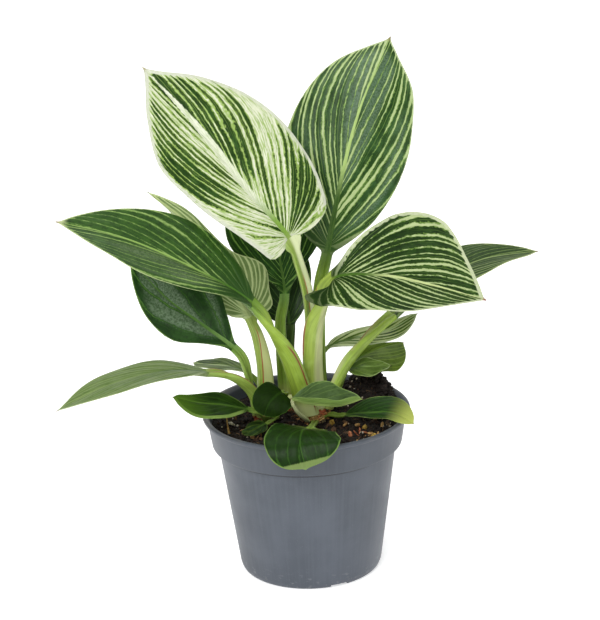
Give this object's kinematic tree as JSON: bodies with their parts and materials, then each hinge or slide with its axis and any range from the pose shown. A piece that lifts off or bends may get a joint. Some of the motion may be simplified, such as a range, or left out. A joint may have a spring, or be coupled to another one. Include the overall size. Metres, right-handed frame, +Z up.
{
  "type": "potted plant",
  "caption": "Variegated philodendron with oval, striped leaves on long stalks, growing from short stems in the soil of a tapered round plastic nursery pot.",
  "frame": {"origin": "centre of the pot's foot, on the surface that it stands on", "axes": "+Z up along the pot's axis, -Y towards the side that the tall leaves face, +X to the right seen from there"},
  "size_m": [0.2783, 0.1422, 0.3042],
  "materials": {
    "pot_plastic": "blue-grey satin moulded plastic",
    "peat": "moist dark peat with bark chips and perlite",
    "stem_green": "satin green plant stem with brown leaf scars",
    "leaf_pale": "waxy leaf, cream stripes on green",
    "leaf_dark": "waxy leaf, thin light stripes on dark green"
  },
  "bodies": {
    "root": {"pot": "pot_plastic", "soil": "peat", "stem_main": "stem_green", "stem_left": "stem_green", "stem_back": "stem_green", "leaf_upper_left": "leaf_pale", "leaf_upper_right": "leaf_dark", "leaf_mid_right": "leaf_dark", "leaf_mid_left": "leaf_dark", "leaf_behind_left": "leaf_pale", "leaf_low_left": "leaf_dark", "leaf_back_centre": "leaf_dark", "leaf_back_shade": "leaf_dark", "leaf_far_right": "leaf_dark", "leaf_pale_right": "leaf_pale", "leaf_olive_right": "leaf_dark", "leaf_small_right": "leaf_dark", "leaf_yellow_tip": "leaf_dark", "leaf_boat_front": "leaf_dark", "leaf_round_front": "leaf_dark", "leaf_round_small": "leaf_dark", "leaf_front_left": "leaf_dark", "leaf_drooping_left": "leaf_dark", "leaf_thin_left": "leaf_dark", "leaf_on_soil": "leaf_dark"}
  },
  "joints": []
}
